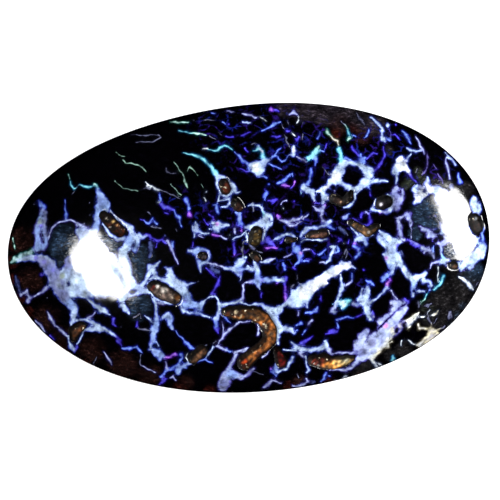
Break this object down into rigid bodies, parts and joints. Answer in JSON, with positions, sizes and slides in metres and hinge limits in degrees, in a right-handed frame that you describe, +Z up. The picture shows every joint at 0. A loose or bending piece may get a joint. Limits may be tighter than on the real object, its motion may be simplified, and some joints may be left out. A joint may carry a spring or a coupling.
{
  "type": "boulder opal cabochon",
  "caption": "Loose oval cabochon of boulder opal: polished dome of dark ironstone nodules veined with opal, open natural hollows, flat sawn back.",
  "frame": {"origin": "middle of the flat back, where the stone rests", "axes": "+X along the oval's length, towards the fuller end; +Y across it; +Z up out of the dome"},
  "size_m": [0.028, 0.0169, 0.0053],
  "materials": {
    "opal_matrix": "near-black ironstone nodules in a network of blue-white opal veins, polished to a gloss on the dome and girdle and sanded on the back"
  },
  "bodies": {
    "root": {"opal_stone": "opal_matrix"}
  },
  "joints": []
}
